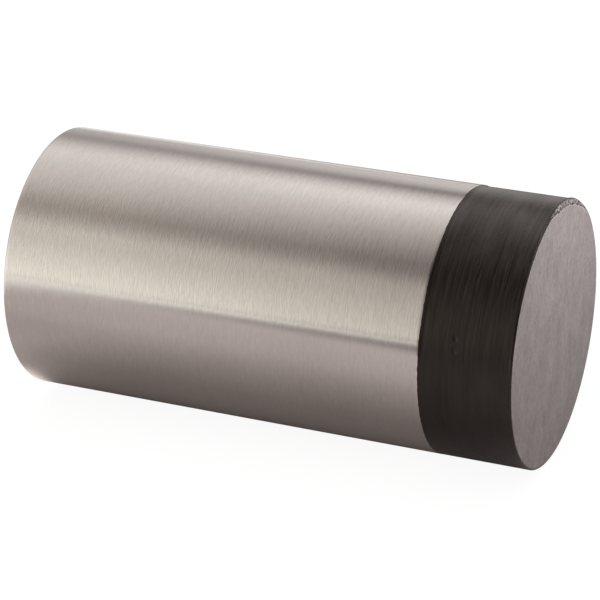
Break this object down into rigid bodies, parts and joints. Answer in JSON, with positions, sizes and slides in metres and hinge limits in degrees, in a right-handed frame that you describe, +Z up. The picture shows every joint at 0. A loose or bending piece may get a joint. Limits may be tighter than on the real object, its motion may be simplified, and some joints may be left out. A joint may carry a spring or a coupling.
{
  "type": "door stop",
  "caption": "Wall-mounted cylinder door stop: a satin steel tube slides over a screw-fixed base and carries a black rubber buffer at its free end.",
  "frame": {"origin": "centre of the wall face, where the base and the tube meet the wall", "axes": "-Y out from the wall along the stop to its strike face, +Z up, +X to the right of someone who faces the wall"},
  "size_m": [0.038, 0.076, 0.038],
  "materials": {
    "satin_stainless": "satin, brushed round the tube",
    "black_rubber": "matt, lathe-trimmed sides and a buffed strike face",
    "turned_aluminium": "turned",
    "turned_steel": "turned",
    "fastener_stainless": "plain",
    "zinc_plated_steel": "bright zinc"
  },
  "bodies": {
    "wall_base": {"mounting_base": "turned_aluminium"},
    "sleeve": {"outer_tube": "satin_stainless", "bulkhead": "turned_steel", "bonded_plate": "zinc_plated_steel", "buffer_stud": "zinc_plated_steel", "plain_washer": "zinc_plated_steel", "spring_washer": "zinc_plated_steel", "buffer_nut": "zinc_plated_steel"},
    "set_screw": {"grub_screw": "fastener_stainless"},
    "buffer": {"rubber_buffer": "black_rubber"}
  },
  "joints": [
    {"name": "sleeve_slide", "type": "slide", "parent": "wall_base", "child": "sleeve", "axis": [0, -1, 0], "range_m": [0, 0.02]},
    {"name": "set_screw_travel", "type": "slide", "parent": "sleeve", "child": "set_screw", "axis": [0, 0, -1], "range_m": [0, 0.0024]},
    {"name": "buffer_compression", "type": "slide", "parent": "sleeve", "child": "buffer", "axis": [0, 1, 0], "range_m": [0, 0.002], "stiffness_N_per_m": 400000, "deforming": ["rubber_buffer"]}
  ]
}
